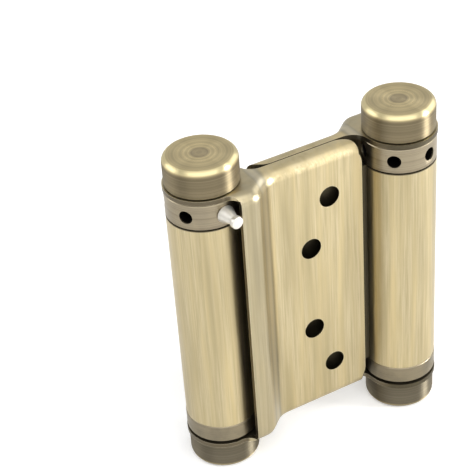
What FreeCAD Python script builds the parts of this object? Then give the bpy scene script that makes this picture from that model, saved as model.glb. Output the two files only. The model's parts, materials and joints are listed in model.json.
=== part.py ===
import FreeCAD, Part
import math
import os

import Sketcher

# Double action spring hinge, 75 mm leaf, standing on its two bottom caps.
# Millimetres, +Z up along the barrels, origin at the middle of the hinge, half way up the leaves.
# +X runs from the front leaf's barrel to the rear leaf's barrel, and the front leaf faces -Y.
# The hinge looks the same after half a turn about Z, so every piece but the centre comes in two.

# Driving sizes: name, value in millimetres or degrees, what it is
SIZES = (
    ("leaf_height", 75.0, "over the outer faces of a leaf's two flanges"),
    ("barrel_spacing", 50.8, "between the two barrel axes"),
    ("rest_slant", 7.45, "degrees that each leaf closes past the line of the barrels"),
    ("sheet", 1.2, "thickness of the leaf sheet"),
    ("barrel_radius", 9.2, "outside of a barrel tube"),
    ("barrel_wall", 1.2, "thickness of the rolled centre sheet"),
    ("seam_width", 0.35, "slit where the rolled edge meets the web"),
    ("web_bend", 2.2, "inside radius where the web turns into a barrel"),
    ("edge_break", 0.25, "small rounding of turned and cut edges"),
    ("axial_gap", 0.2, "running gap between stacked pieces"),
    ("spindle_radius", 3.0, "spindle through each barrel"),
    ("running_fit", 0.08, "radial clearance of turning pieces"),
    ("press_fit", 0.02, "radial clearance of pressed pieces"),
    ("washer_thickness", 0.5, "thrust washer on the lower lug"),
    ("washer_radius", 7.6, "outside of the thrust washer"),
    ("bush_rim", 4.8, "height of the bush below its barrel"),
    ("bush_margin", 0.1, "bush rim's radius beyond the barrel"),
    ("bush_spigot", 5.0, "length of the bush inside its barrel"),
    ("collar_height", 6.7, "height of the tension collar above its barrel"),
    ("collar_spigot", 4.5, "length of the collar inside its barrel"),
    ("collar_holes", 6, "number of holes for the pin and the turning bar"),
    ("collar_hole_radius", 1.7, "radius of a collar hole"),
    ("collar_hole_floor", 4.4, "distance of the hole's bottom from the axis"),
    ("pin_angle", 4.55, "degrees from the leaf's normal to the front pin"),
    ("rear_collar_turn", -46.3, "degrees that the rear collar stands from the front one's place"),
    ("pin_fit", 0.1, "radial clearance of the pin's shank"),
    ("pin_shoulder_radius", 2.25, "base of the pin's cone"),
    ("pin_cone_length", 3.4, "length of the pin's cone"),
    ("pin_neck_radius", 1.1, "narrow end of the cone"),
    ("pin_neck_length", 0.35, "plain neck below the head"),
    ("pin_head_radius", 1.5, "button head of the pin"),
    ("pin_head_length", 1.3, "height of the button head"),
    ("cap_radius", 8.95, "outside of the end caps"),
    ("cap_height", 7.4, "height of an end cap"),
    ("cap_round", 1.6, "rounding of the cap's outer edge"),
    ("cap_groove", 0.25, "height of the groove where a cap meets its lug"),
    ("cap_groove_depth", 0.7, "depth of that groove"),
    ("cap_socket", 5.2, "depth of the socket for the spindle"),
    ("lug_margin", 0.2, "radius of the lugs beyond the barrel"),
    ("strip_clearance", 1.7, "gap between the barrel and the raised strip of the leaf"),
    ("strip_edge", 3.5, "free edge of the raised strip from the barrel axis"),
    ("web_clearance", 0.57, "between a closed leaf's far end and the web"),
    ("bend_inside", 1.8, "inside radius of the flange bends"),
    ("joggle_start", 6.4, "where the raised strip begins to fall to the plate"),
    ("joggle_angle", 40.0, "degrees of the slope between strip and plate"),
    ("joggle_crown", 4.2, "outer radius at the top of the slope"),
    ("joggle_foot", 5.5, "outer radius at the foot of the slope"),
    ("end_gap", 2.1, "between the leaf's far end and the other barrel"),
    ("edge_gap", 0.3, "between the two leaves' flanges"),
    ("corner_radius", 5.0, "rounded far corner of the flanges"),
    ("corner_setback", 0.85, "end of the flange corner behind the plate's end"),
    ("plate_corner", 5.0, "rounded corner of the plate's far end"),
    ("throat_radius", 4.5, "hollow between flange and lug"),
    ("relief_radius", 3.2, "hollow between lug and raised strip"),
    ("screw_hole_radius", 2.8, "screw hole at the outer face"),
    ("screw_head_radius", 3.8, "countersink at the inner face"),
    ("outer_hole_inset", 9.4, "outer screw holes from the plate's end"),
    ("middle_hole_inset", 15.0, "middle screw holes from the plate's end"),
    ("outer_hole_rise", 25.4, "outer screw holes from mid height"),
    ("middle_hole_rise", 12.3, "middle screw holes from mid height"),
    ("spring_wire", 1.0, "radius of the torsion spring's wire"),
    ("spring_clearance", 0.9, "between the spring and the barrel round it"),
    ("spring_turns", 9, "turns of the torsion spring"),
    ("spring_runs", 20, "straight runs that make one turn"),
    ("spring_seat", 0.4, "gap between the spring's ends and their seats"),
)

# Each side's place: sign of its barrel axis along X, and half a turn in degrees for the rear
SIDES = {"front": ("-", "0"), "rear": ("", "180")}

# Tolerance for picking an edge by its place
TOUCH = 0.01

doc = FreeCAD.newDocument("cafe_hinge")
sizes = doc.addObject("Spreadsheet::Sheet", "sizes")
for row, (alias, number, meaning) in enumerate(SIZES, start=1):
    sizes.set(f"A{row}", alias)
    sizes.set(f"B{row}", str(number))
    sizes.setAlias(f"B{row}", alias)
    sizes.set(f"C{row}", meaning)
doc.recompute()

# Levels along a barrel, counted from the middle of the hinge
LOW_FACE = "(-sizes.leaf_height / 2)"
LEAF_TOP = "(sizes.leaf_height / 2)"
BUSH_FOOT = f"({LOW_FACE} + sizes.sheet + sizes.washer_thickness + sizes.axial_gap)"
TUBE_FOOT = f"({BUSH_FOOT} + sizes.bush_rim)"
COLLAR_TOP = f"({LEAF_TOP} - sizes.sheet - sizes.axial_gap)"
COLLAR_FOOT = f"({COLLAR_TOP} - sizes.collar_height)"
COLLAR_MIDDLE = f"({COLLAR_TOP} - sizes.collar_height / 2)"
TUBE_TOP = f"({COLLAR_FOOT} - sizes.axial_gap)"

# Radii that follow from the barrel and its spindle
BARREL_BORE = "(sizes.barrel_radius - sizes.barrel_wall)"
TURNING_BORE = "(sizes.spindle_radius + sizes.running_fit)"
FIXED_BORE = "(sizes.spindle_radius + sizes.press_fit)"
LUG_RADIUS = "(sizes.barrel_radius + sizes.lug_margin)"
SPRING_RADIUS = f"({BARREL_BORE} - sizes.spring_clearance - sizes.spring_wire)"

# A leaf seen from above, in its own frame: X runs along the plate from the barrel axis,
# and distances out from the axis towards the plate's outer face are counted along -Y.
SLANT = "(sizes.rest_slant * 1deg)"
FLANGE_EDGE = f"(sizes.barrel_spacing / 2 * sin({SLANT}) + sizes.edge_gap / 2)"
STRIP_OUT = "(sizes.barrel_radius + sizes.strip_clearance + sizes.sheet)"
PLATE_END = f"(sizes.barrel_spacing * cos({SLANT}) - sizes.barrel_radius - sizes.end_gap)"
PLATE_OUT = (
    f"(sizes.sheet + {PLATE_END} * tan({SLANT})"
    f" + (sizes.barrel_wall / 2 + sizes.web_clearance) / cos({SLANT}))"
)
BEND_OUT = "(sizes.bend_inside + sizes.sheet)"
SLOPE = "(sizes.joggle_angle * 1deg)"
FALL = f"({STRIP_OUT} - {PLATE_OUT})"
STRAIGHT_FALL = f"({FALL} - (sizes.joggle_crown + sizes.joggle_foot) * (1 - cos({SLOPE})))"
FOOT_X = (
    f"(sizes.joggle_start + (sizes.joggle_crown + sizes.joggle_foot) * sin({SLOPE})"
    f" + {STRAIGHT_FALL} / tan({SLOPE}))"
)


def num(expression):
    """Gives an expression's value for the first drawing of a sketch."""
    return float(sizes.evalExpression(expression))


def new_body(name):
    body = doc.addObject("PartDesign::Body", name)
    body.Label = name
    return body


def stand(piece, side, turn="0"):
    """Puts a piece on its side's barrel axis, turned about it. The rear side has half a turn more."""
    sign, half_turn = SIDES[side]
    piece.Placement = FreeCAD.Placement(FreeCAD.Vector(), FreeCAD.Rotation(FreeCAD.Vector(0, 0, 1), 1))
    piece.setExpression("Placement.Base.x", f"{sign}sizes.barrel_spacing / 2")
    piece.setExpression("Placement.Rotation.Angle", f"{half_turn} + {turn}")


def new_sketch(body, name, role, level="0"):
    """A sketch on one of the body's origin planes, moved along the plane's normal by level."""
    sketch = body.newObject("Sketcher::SketchObject", name)
    plane = next(feature for feature in body.Origin.OriginFeatures if feature.Role == role)
    sketch.AttachmentSupport = [(plane, "")]
    sketch.MapMode = "FlatFace"
    sketch.setExpression("AttachmentOffset.Base.z", level)
    return sketch


def bind(sketch, kind, where, expression):
    """Adds a dimension to a sketch and ties it to the sheet."""
    number = sketch.addConstraint(Sketcher.Constraint(kind, *where, num(expression)))
    sketch.setExpression(f"Constraints[{number}]", expression)


def pin_down(sketch, geometry, point, across, up):
    """Fixes one point of a sketch by its distances from the origin, or on an axis where one is 0."""
    for kind, axis, expression in (("DistanceX", -2, across), ("DistanceY", -1, up)):
        if expression == "0":
            sketch.addConstraint(Sketcher.Constraint("PointOnObject", geometry, point, axis))
        else:
            bind(sketch, kind, (-1, 1, geometry, point), expression)


def draw_circle(sketch, across, up, radius):
    centre = FreeCAD.Vector(num(across), num(up), 0)
    circle = Part.Circle(centre, FreeCAD.Vector(0, 0, 1), num(radius))
    geometry = sketch.addGeometry(circle, False)
    bind(sketch, "Radius", (geometry,), radius)
    if across == "0" and up == "0":
        sketch.addConstraint(Sketcher.Constraint("Coincident", geometry, 3, -1, 1))
    else:
        pin_down(sketch, geometry, 3, across, up)


def arc_between(start, end, radius, turn):
    """The short arc from start to end. Turn is 1 where it bends left and -1 where it bends right."""
    chord = end - start
    lift = math.sqrt(max(radius**2 - (chord.Length / 2) ** 2, 0))
    left = FreeCAD.Vector(-chord.y, chord.x, 0).normalize()
    centre = (start + end) / 2 + left * lift * turn
    first, last = (start, end) if turn > 0 else (end, start)
    angles = [math.atan2(point.y - centre.y, point.x - centre.x) for point in (first, last)]
    return Part.ArcOfCircle(Part.Circle(centre, FreeCAD.Vector(0, 0, 1), radius), *angles)


def draw_outline(sketch, corners):
    """Draws a closed outline. A corner is (x, y), or (x, y, radius, turn) where an arc leaves it."""
    points = [FreeCAD.Vector(num(corner[0]), num(corner[1]), 0) for corner in corners]
    ends = []
    for number, corner in enumerate(corners):
        start = points[number]
        end = points[(number + 1) % len(points)]
        arc = corner[2:]
        if arc:
            radius, turn = arc
            geometry = sketch.addGeometry(arc_between(start, end, num(radius), turn), False)
        else:
            turn = 1
            geometry = sketch.addGeometry(Part.LineSegment(start, end), False)
        ends.append((geometry, 1, 2) if turn > 0 else (geometry, 2, 1))
    for number, corner in enumerate(corners):
        geometry, first, last = ends[number]
        following, joined, _ = ends[(number + 1) % len(ends)]
        sketch.addConstraint(Sketcher.Constraint("Coincident", geometry, last, following, joined))
        pin_down(sketch, geometry, first, corner[0], corner[1])
        if len(corner) > 2:
            bind(sketch, "Radius", (geometry,), corner[2])


def feature(body, kind, name, sketch, **expressions):
    """Adds a sketched feature whose sizes are tied to the sheet."""
    made = body.newObject(f"PartDesign::{kind}", name)
    made.Profile = sketch
    for size, expression in expressions.items():
        made.setExpression(size, expression)
    sketch.Visibility = False
    return made


def turn_about_axis(body, sketch):
    """Revolves a profile about the sketch's upright axis."""
    turned = feature(body, "Revolution", "Turned", sketch)
    turned.ReferenceAxis = (sketch, ["V_Axis"])
    turned.Angle = 360
    return turned


def dress(body, kind, name, base, chosen, size):
    """Rounds or bevels the edges of the base that the test chooses."""
    doc.recompute()
    edges = [f"Edge{number}" for number, edge in enumerate(base.Shape.Edges, start=1) if chosen(edge)]
    made = body.newObject(f"PartDesign::{kind}", name)
    made.Base = (base, edges)
    made.setExpression("Radius" if kind == "Fillet" else "Size", size)
    return made


def lies_at(edge, height):
    """True for an edge that lies level at a height."""
    box = edge.BoundBox
    return abs(box.ZMin - height) < TOUCH and abs(box.ZMax - height) < TOUCH


def make_twin_barrel():
    """The centre: one sheet, a flat web whose two edges are rolled into barrels."""
    body = new_body("twin_barrel")
    half = "sizes.barrel_spacing / 2"
    height = f"{TUBE_TOP} - {TUBE_FOOT}"
    web = new_sketch(body, "WebOutline", "XY_Plane", TUBE_FOOT)
    corners = []
    for across, up in (("-1", "-1"), ("1", "-1"), ("1", "1"), ("-1", "1")):
        corners.append((f"{across} * ({half} - sizes.barrel_radius / 2)", f"{up} * sizes.barrel_wall / 2"))
    draw_outline(web, corners)
    feature(body, "Pad", "Web", web, Length=height)
    rolls = new_sketch(body, "RollOutlines", "XY_Plane", TUBE_FOOT)
    bores = new_sketch(body, "BoreOutlines", "XY_Plane", TUBE_FOOT)
    for sign in ("-1", "1"):
        draw_circle(rolls, f"{sign} * {half}", "0", "sizes.barrel_radius")
        draw_circle(bores, f"{sign} * {half}", "0", BARREL_BORE)
    tubes = feature(body, "Pad", "Barrels", rolls, Length=height)
    foot = num(f"{half} - sqrt(sizes.barrel_radius ^ 2 - (sizes.barrel_wall / 2) ^ 2)")
    face = num("sizes.barrel_wall / 2")

    def where_web_turns(edge):
        middle = edge.CenterOfMass
        upright = edge.BoundBox.ZLength > TOUCH
        right = math.hypot(middle.x - foot, middle.y - face) < TOUCH
        left = math.hypot(middle.x + foot, middle.y + face) < TOUCH
        return upright and (right or left)

    bend = dress(body, "Fillet", "WebBends", tubes, where_web_turns, "sizes.web_bend")
    hollow = feature(body, "Pocket", "Bores", bores, Length=height)
    hollow.Reversed = True
    seams = new_sketch(body, "SeamOutlines", "XY_Plane", TUBE_FOOT)
    near = f"({half} - sizes.barrel_radius - sizes.seam_width)"
    far = f"({half} - {BARREL_BORE} + sizes.barrel_wall)"
    low = "(sizes.barrel_wall / 2 + sizes.seam_width)"
    high = "sizes.barrel_wall / 2"
    for sign, other in (("1", "-1"), ("-1", "1")):
        draw_outline(seams, [
            (f"{sign} * {near}", f"{other} * {low}"),
            (f"{sign} * {far}", f"{other} * {low}"),
            (f"{sign} * {far}", f"{other} * {high}"),
            (f"{sign} * {near}", f"{other} * {high}"),
        ])
    slits = feature(body, "Pocket", "Seams", seams, Length=height)
    slits.Reversed = True
    body.Tip = slits
    return body


def joggle(out_offset, crown, foot):
    """The four corners of the slope between strip and plate, for the outer or the inner face."""
    strip = f"({STRIP_OUT} - {out_offset})"
    plate = f"({PLATE_OUT} - {out_offset})"
    crown_centre = f"({strip} - {crown})"
    foot_centre = f"({plate} + {foot})"
    return [
        ("sizes.joggle_start", f"-{strip}", crown, 1),
        (f"sizes.joggle_start + {crown} * sin({SLOPE})", f"-({crown_centre} + {crown} * cos({SLOPE}))"),
        (f"{FOOT_X} - {foot} * sin({SLOPE})", f"-({foot_centre} - {foot} * cos({SLOPE}))", foot, -1),
        (FOOT_X, f"-{plate}"),
    ]


def make_leaf(side):
    """A pressed leaf: plate, raised strip, two flanges bent in from it and a lug at each flange's end."""
    throat_reach = f"({LUG_RADIUS} + sizes.throat_radius)"
    throat_out = f"({FLANGE_EDGE} - sizes.throat_radius)"
    throat_x = f"sqrt({throat_reach} ^ 2 - {throat_out} ^ 2)"
    throat_end_x = f"{throat_x} * {LUG_RADIUS} / {throat_reach}"
    throat_end_y = f"-{throat_out} * {LUG_RADIUS} / {throat_reach}"
    relief_reach = f"({LUG_RADIUS} + sizes.relief_radius)"
    relief_x = "(sizes.strip_edge - sizes.relief_radius)"
    relief_out = f"sqrt({relief_reach} ^ 2 - {relief_x} ^ 2)"
    corner_end = f"({PLATE_END} - sizes.corner_setback)"
    corner_drop = f"(sizes.corner_radius - {PLATE_OUT} + {FLANGE_EDGE})"
    plate_in = f"({PLATE_OUT} - sizes.sheet)"
    corner_x = f"({corner_end} - sqrt(sizes.corner_radius ^ 2 - {corner_drop} ^ 2))"
    beyond = f"({PLATE_END} + sizes.end_gap)"
    reach = f"({LUG_RADIUS} + {STRIP_OUT})"
    touch = f"{relief_x} * {LUG_RADIUS} / {relief_reach}"

    body = new_body(f"{side}_leaf")
    stand(body, side, "sizes.rest_slant")
    blank = new_sketch(body, "BlankOutline", "XY_Plane", LOW_FACE)
    draw_outline(blank, [
        (touch, f"-{STRIP_OUT}"),
        *joggle("0", "sizes.joggle_crown", "sizes.joggle_foot"),
        (PLATE_END, f"-{PLATE_OUT}"),
        (PLATE_END, throat_end_y),
        (touch, throat_end_y),
    ])
    block = feature(body, "Pad", "Blank", blank, Length="sizes.leaf_height")
    low, top, wall = num(LOW_FACE), num(LEAF_TOP), num("sizes.sheet")

    def along_face(edge, offset):
        return edge.BoundBox.YMax < TOUCH - offset and edge.BoundBox.XLength > TOUCH

    def on_outer_bend(edge):
        return (lies_at(edge, low) or lies_at(edge, top)) and along_face(edge, num(PLATE_OUT))

    dress(body, "Fillet", "OuterBends", block, on_outer_bend, BEND_OUT)

    inside = new_sketch(body, "InsideOutline", "XY_Plane", f"{LOW_FACE} + sizes.sheet")
    crown_inside = "(sizes.joggle_crown - sizes.sheet)"
    foot_inside = "(sizes.joggle_foot + sizes.sheet)"
    draw_outline(inside, [
        (f"-{reach}", f"-({STRIP_OUT} - sizes.sheet)"),
        *joggle("sizes.sheet", crown_inside, foot_inside),
        (beyond, f"-{plate_in}"),
        (beyond, reach),
        (f"-{reach}", reach),
    ])
    hollow = feature(body, "Pocket", "Inside", inside, Length="sizes.leaf_height - 2 * sizes.sheet")
    hollow.Reversed = True

    def on_inner_bend(edge):
        box = edge.BoundBox
        level = lies_at(edge, low + wall) or lies_at(edge, top - wall)
        return level and along_face(edge, num(plate_in))

    dress(body, "Fillet", "InnerBends", hollow, on_inner_bend, "sizes.bend_inside")

    trim = new_sketch(body, "FlangeTrimOutline", "XY_Plane", LOW_FACE)
    draw_outline(trim, [
        (throat_end_x, throat_end_y, "sizes.throat_radius", 1),
        (throat_x, f"-{FLANGE_EDGE}"),
        (corner_x, f"-{FLANGE_EDGE}", "sizes.corner_radius", -1),
        (f"{corner_x} + sizes.corner_radius", f"-({FLANGE_EDGE} + sizes.corner_radius)"),
        (beyond, f"-({FLANGE_EDGE} + sizes.corner_radius)"),
        (beyond, reach),
        (throat_end_x, reach),
    ])
    trimmed = feature(body, "Pocket", "FlangeTrim", trim, Length="sizes.leaf_height")
    trimmed.Reversed = True
    relief = new_sketch(body, "ReliefOutline", "XY_Plane", LOW_FACE)
    draw_circle(relief, relief_x, f"-{relief_out}", "sizes.relief_radius")
    relieved = feature(body, "Pocket", "Relief", relief, Length="sizes.leaf_height")
    relieved.Reversed = True

    edge_cut = new_sketch(body, "FreeEdgeOutline", "XY_Plane", f"{LOW_FACE} + sizes.sheet")
    draw_outline(edge_cut, [
        (f"-{LUG_RADIUS}", f"-{reach}"),
        ("sizes.strip_edge", f"-{reach}"),
        ("sizes.strip_edge", f"-{LUG_RADIUS}"),
        (f"-{LUG_RADIUS}", f"-{LUG_RADIUS}"),
    ])
    free_edge = feature(body, "Pocket", "FreeEdge", edge_cut, Length="sizes.leaf_height - 2 * sizes.sheet")
    free_edge.Reversed = True

    tab = new_sketch(body, "PlateEndOutline", "XZ_Plane", plate_in)
    root = f"{PLATE_END} - 3 * sizes.corner_setback"
    tip = f"{PLATE_END} - sizes.plate_corner + sqrt(sizes.plate_corner ^ 2 - {BEND_OUT} ^ 2)"
    draw_outline(tab, [
        (root, f"{LOW_FACE} + {BEND_OUT}"),
        (tip, f"{LOW_FACE} + {BEND_OUT}", "sizes.plate_corner", 1),
        (PLATE_END, f"{LOW_FACE} + 2 * {BEND_OUT}"),
        (PLATE_END, f"{LEAF_TOP} - 2 * {BEND_OUT}", "sizes.plate_corner", 1),
        (tip, f"{LEAF_TOP} - {BEND_OUT}"),
        (root, f"{LEAF_TOP} - {BEND_OUT}"),
    ])
    feature(body, "Pad", "PlateEnd", tab, Length="sizes.sheet")

    for place, level in (("Low", LOW_FACE), ("Top", f"{LEAF_TOP} - sizes.sheet")):
        lug = new_sketch(body, f"{place}LugOutline", "XY_Plane", level)
        draw_circle(lug, "0", "0", LUG_RADIUS)
        feature(body, "Pad", f"{place}Lug", lug, Length="sizes.sheet")
    eyes = new_sketch(body, "EyeOutline", "XY_Plane", LOW_FACE)
    draw_circle(eyes, "0", "0", FIXED_BORE)
    eye = feature(body, "Pocket", "Eyes", eyes, Length="sizes.leaf_height")
    eye.Reversed = True

    screws = new_sketch(body, "ScrewPlaces", "XZ_Plane", plate_in)
    for row in ("outer", "middle"):
        across = f"{PLATE_END} - sizes.{row}_hole_inset"
        for sign in ("", "-"):
            draw_circle(screws, across, f"{sign} sizes.{row}_hole_rise", "sizes.screw_hole_radius")
    doc.recompute()
    holes = feature(body, "Hole", "ScrewHoles", screws, Diameter="2 * sizes.screw_hole_radius")
    holes.DepthType = "ThroughAll"
    holes.Reversed = True
    holes.HoleCutType = "Countersink"
    holes.HoleCutCustomValues = True
    holes.HoleCutCountersinkAngle = 90
    holes.setExpression("HoleCutDiameter", "2 * sizes.screw_head_radius")
    body.Tip = holes
    return body


def make_cap(side, end):
    """A turned cap with a rounded outer edge, a shadow groove at its lug and a socket for the spindle."""
    body = new_body(f"{side}_{end}_cap")
    stand(body, side, "sizes.rest_slant")
    sign, foot = ("+", LEAF_TOP) if end == "top" else ("-", LOW_FACE)
    profile = new_sketch(body, "CapProfile", "XZ_Plane")
    turn = 1 if end == "top" else -1
    root = "sizes.cap_radius - sizes.cap_groove_depth"
    shoulder = f"{foot} {sign} (sizes.cap_height - sizes.cap_round)"
    draw_outline(profile, [
        (FIXED_BORE, foot),
        (root, foot),
        (root, f"{foot} {sign} sizes.cap_groove"),
        ("sizes.cap_radius", f"{foot} {sign} sizes.cap_groove"),
        ("sizes.cap_radius", shoulder, "sizes.cap_round", turn),
        ("sizes.cap_radius - sizes.cap_round", f"{foot} {sign} sizes.cap_height"),
        ("0", f"{foot} {sign} sizes.cap_height"),
        ("0", f"{foot} {sign} sizes.cap_socket"),
        (FIXED_BORE, f"{foot} {sign} sizes.cap_socket"),
    ])
    body.Tip = turn_about_axis(body, profile)
    return body


def make_spindle(side):
    """The spindle: it fills both caps' sockets and carries bush, spring and collar between the lugs."""
    body = new_body(f"{side}_spindle")
    stand(body, side, "sizes.rest_slant")
    low = f"({LOW_FACE} - sizes.cap_socket + sizes.axial_gap)"
    high = f"({LEAF_TOP} + sizes.cap_socket - sizes.axial_gap)"
    profile = new_sketch(body, "SpindleProfile", "XZ_Plane")
    point = "sizes.spindle_radius - 2 * sizes.edge_break"
    draw_outline(profile, [
        ("0", low),
        (point, low),
        ("sizes.spindle_radius", f"{low} + 2 * sizes.edge_break"),
        ("sizes.spindle_radius", f"{high} - 2 * sizes.edge_break"),
        (point, high),
        ("0", high),
    ])
    body.Tip = turn_about_axis(body, profile)
    return body


def make_thrust_washer(side):
    """The washer that the bush turns on, flat on the lower lug."""
    body = new_body(f"{side}_thrust_washer")
    stand(body, side, "sizes.rest_slant")
    foot = f"({LOW_FACE} + sizes.sheet)"
    profile = new_sketch(body, "WasherProfile", "XZ_Plane")
    draw_outline(profile, [
        (TURNING_BORE, foot),
        ("sizes.washer_radius", foot),
        ("sizes.washer_radius", f"{foot} + sizes.washer_thickness"),
        (TURNING_BORE, f"{foot} + sizes.washer_thickness"),
    ])
    body.Tip = turn_about_axis(body, profile)
    return body


def make_barrel_bush(side):
    """The bush pressed into the barrel's foot, with a rim below the barrel."""
    body = new_body(f"{side}_barrel_bush")
    stand(body, side)
    spigot = f"({BARREL_BORE} - sizes.press_fit)"
    spigot_top = f"({TUBE_FOOT} + sizes.bush_spigot)"
    rim = "(sizes.barrel_radius + sizes.bush_margin)"
    profile = new_sketch(body, "BushProfile", "XZ_Plane")
    draw_outline(profile, [
        (TURNING_BORE, BUSH_FOOT),
        (f"{rim} - sizes.edge_break", BUSH_FOOT),
        (rim, f"{BUSH_FOOT} + sizes.edge_break"),
        (rim, f"{TUBE_FOOT} - sizes.edge_break"),
        (f"{rim} - sizes.edge_break", TUBE_FOOT),
        (spigot, TUBE_FOOT),
        (spigot, spigot_top),
        (TURNING_BORE, spigot_top),
    ])
    body.Tip = turn_about_axis(body, profile)
    return body


def make_tension_collar(side, turn):
    """The tension collar: a ring of blind holes above the barrel, and a spigot inside it."""
    body = new_body(f"{side}_tension_collar")
    stand(body, side, turn)
    spigot = f"({BARREL_BORE} - sizes.running_fit)"
    spigot_foot = f"({COLLAR_FOOT} - sizes.collar_spigot)"
    profile = new_sketch(body, "CollarProfile", "XZ_Plane")
    draw_outline(profile, [
        (TURNING_BORE, spigot_foot),
        (spigot, spigot_foot),
        (spigot, COLLAR_FOOT),
        ("sizes.barrel_radius - sizes.edge_break", COLLAR_FOOT),
        ("sizes.barrel_radius", f"{COLLAR_FOOT} + sizes.edge_break"),
        ("sizes.barrel_radius", f"{COLLAR_TOP} - sizes.edge_break"),
        ("sizes.barrel_radius - sizes.edge_break", COLLAR_TOP),
        (TURNING_BORE, COLLAR_TOP),
    ])
    turn_about_axis(body, profile)
    mouth = new_sketch(body, "HoleOutline", "XZ_Plane", "sizes.collar_hole_floor")
    draw_circle(mouth, "0", COLLAR_MIDDLE, "sizes.collar_hole_radius")
    hole_depth = "sizes.barrel_radius - sizes.collar_hole_floor + sizes.edge_break"
    hole = feature(body, "Pocket", "BarHole", mouth, Length=hole_depth)
    hole.Reversed = True
    ring = body.newObject("PartDesign::PolarPattern", "BarHoles")
    ring.Originals = [hole]
    axis = next(feature for feature in body.Origin.OriginFeatures if feature.Role == "Z_Axis")
    ring.Axis = (axis, [""])
    ring.Angle = 360
    ring.setExpression("Occurrences", "sizes.collar_holes")
    body.Tip = ring
    return body


def make_tension_pin(side, turn):
    """The tension pin: a shank in a collar hole, a cone that shoulders on the collar, and a button head."""
    body = new_body(f"{side}_tension_pin")
    stand(body, side, turn)
    profile = new_sketch(body, "PinProfile", "XY_Plane", COLLAR_MIDDLE)
    shank = "(sizes.collar_hole_radius - sizes.pin_fit)"
    shoulder = "(sizes.barrel_radius + sizes.press_fit)"
    neck = f"({shoulder} + sizes.pin_cone_length)"
    head = f"({neck} + sizes.pin_neck_length)"
    end = f"({head} + sizes.pin_head_length)"
    draw_outline(profile, [
        ("0", f"-{end}"),
        ("sizes.pin_head_radius - sizes.edge_break", f"-{end}"),
        ("sizes.pin_head_radius", f"-({end} - sizes.edge_break)"),
        ("sizes.pin_head_radius", f"-({head} + sizes.edge_break)"),
        ("sizes.pin_neck_radius", f"-{head}"),
        ("sizes.pin_neck_radius", f"-{neck}"),
        ("sizes.pin_shoulder_radius", f"-{shoulder}"),
        (shank, f"-{shoulder}"),
        (shank, "-(sizes.collar_hole_floor + 2 * sizes.axial_gap)"),
        ("0", "-(sizes.collar_hole_floor + sizes.axial_gap)"),
    ])
    body.Tip = turn_about_axis(body, profile)
    return body


def make_torsion_spring(side):
    """The torsion spring between bush and collar: a six-sided wire in short runs round a helix."""
    low = f"({TUBE_FOOT} + sizes.bush_spigot + sizes.spring_seat + sizes.spring_wire)"
    high = f"({COLLAR_FOOT} - sizes.collar_spigot - sizes.spring_seat - sizes.spring_wire)"
    radius, foot, rise = num(SPRING_RADIUS), num(low), num(f"{high} - {low}")
    runs = round(num("sizes.spring_turns * sizes.spring_runs"))
    points = []
    for number in range(runs + 1):
        turn = 2 * math.pi * number / num("sizes.spring_runs")
        height = foot + rise * number / runs
        points.append(FreeCAD.Vector(radius * math.cos(turn), radius * math.sin(turn), height))
    coil = doc.addObject("Part::Polygon", f"{side}_spring_coil")
    coil.Nodes = points
    wire = doc.addObject("Part::RegularPolygon", f"{side}_spring_wire")
    wire.Polygon = 6
    wire.setExpression("Circumradius", "sizes.spring_wire")
    wire.Placement = FreeCAD.Placement(FreeCAD.Vector(), FreeCAD.Rotation(FreeCAD.Vector(1, 0, 0), 90))
    wire.setExpression("Placement.Base.x", SPRING_RADIUS)
    wire.setExpression("Placement.Base.z", low)
    doc.recompute()
    spring = doc.addObject("Part::Sweep", f"{side}_torsion_spring")
    spring.Label = f"{side}_torsion_spring"
    spring.Sections = [wire]
    spring.Spine = (coil, [f"Edge{number}" for number in range(1, len(coil.Shape.Edges) + 1)])
    spring.Solid = True
    spring.Frenet = True
    spring.Transition = "Right corner"
    stand(spring, side)
    return spring


def check_and_write(pieces):
    """Stops if anything failed to build, then writes one file for each piece."""
    doc.recompute()
    failed = [item.Label for item in doc.Objects if {"Invalid", "Error"} & set(item.State)]
    for piece in pieces:
        shape = piece.Shape
        if shape.isNull() or not shape.isValid() or len(shape.Solids) != 1:
            failed.append(piece.Label)
    if failed:
        raise RuntimeError(f"These did not build: {failed}")
    os.makedirs("parts", exist_ok=True)
    for piece in pieces:
        piece.Shape.exportStep(f"parts/{piece.Label}.step")
        print(f"{piece.Label}: {piece.Shape.Volume:.1f} mm3")


COLLAR_TURN = {
    "front": "(sizes.rest_slant + sizes.pin_angle)",
    "rear": "(sizes.rest_slant + sizes.pin_angle + sizes.rear_collar_turn)",
}

made = [make_twin_barrel()]
for side in SIDES:
    made.append(make_leaf(side))
    made.append(make_cap(side, "top"))
    made.append(make_cap(side, "bottom"))
    made.append(make_spindle(side))
    made.append(make_thrust_washer(side))
    made.append(make_barrel_bush(side))
    made.append(make_tension_collar(side, COLLAR_TURN[side]))
    made.append(make_tension_pin(side, COLLAR_TURN[side]))
    made.append(make_torsion_spring(side))
check_and_write(made)
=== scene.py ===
"""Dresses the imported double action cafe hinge: finishes, turned caps and pins, stage and camera.

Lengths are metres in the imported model's frame: +Z up along the barrels, +X from the front leaf's
barrel to the rear leaf's barrel, and the front leaf faces -Y. The origin is the hinge's middle.
"""

import json
import math

import bpy
import numpy as np
from mathutils import Matrix, Vector


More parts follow.
